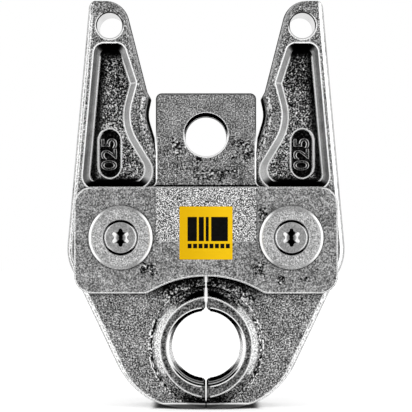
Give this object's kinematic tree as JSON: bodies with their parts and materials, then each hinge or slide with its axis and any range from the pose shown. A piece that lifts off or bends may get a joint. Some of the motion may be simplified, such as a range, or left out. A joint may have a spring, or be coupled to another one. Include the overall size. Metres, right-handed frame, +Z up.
{
  "type": "press fitting tool jaw",
  "caption": "Forged jaws hinged between T-shaped link plates, with a round pressing die at the tips and cam arms that the rollers of a pressing tool spread to close the die.",
  "frame": {"origin": "on the floor under the middle of the jaw, which stands on its two closed tips", "axes": "X to the right along the link plates, Y away from the viewer along the pivot pins, Z up to the arm tips"},
  "size_m": [0.0936, 0.0442, 0.1365],
  "materials": {
    "forged_steel": "shot blasted forged steel, grey, fine grain",
    "plate_steel": "shot blasted steel plate, grey, fine grain",
    "pin_steel": "ground and hardened steel",
    "disc_steel": "turned steel, satin",
    "screw_steel": "zinc plated steel, smooth",
    "spring_steel": "oiled spring wire"
  },
  "bodies": {
    "link_frame": {"front_link_plate": "plate_steel", "rear_link_plate": "plate_steel", "left_pivot_pin": "pin_steel", "right_pivot_pin": "pin_steel", "return_spring": "spring_steel", "front_left_retaining_disc": "disc_steel", "front_right_retaining_disc": "disc_steel", "rear_left_retaining_disc": "disc_steel", "rear_right_retaining_disc": "disc_steel", "front_left_retaining_screw": "screw_steel", "front_right_retaining_screw": "screw_steel", "rear_left_retaining_screw": "screw_steel", "rear_right_retaining_screw": "screw_steel"},
    "left_jaw": {"left_jaw": "forged_steel"},
    "right_jaw": {"right_jaw": "forged_steel"}
  },
  "joints": [
    {"name": "left_jaw_pivot", "type": "hinge", "parent": "link_frame", "child": "left_jaw", "pos_m": [-0.0281, 0, 0.0568], "axis": [0, 1, 0], "range_deg": [0, 16], "stiffness_Nm_per_rad": 0.87, "springref_deg": -34.95, "deforming": ["return_spring"]},
    {"name": "right_jaw_pivot", "type": "hinge", "parent": "link_frame", "child": "right_jaw", "pos_m": [0.0281, 0, 0.0568], "axis": [0, -1, 0], "range_deg": [0, 16], "stiffness_Nm_per_rad": 0.87, "springref_deg": -34.95, "deforming": ["return_spring"]}
  ]
}
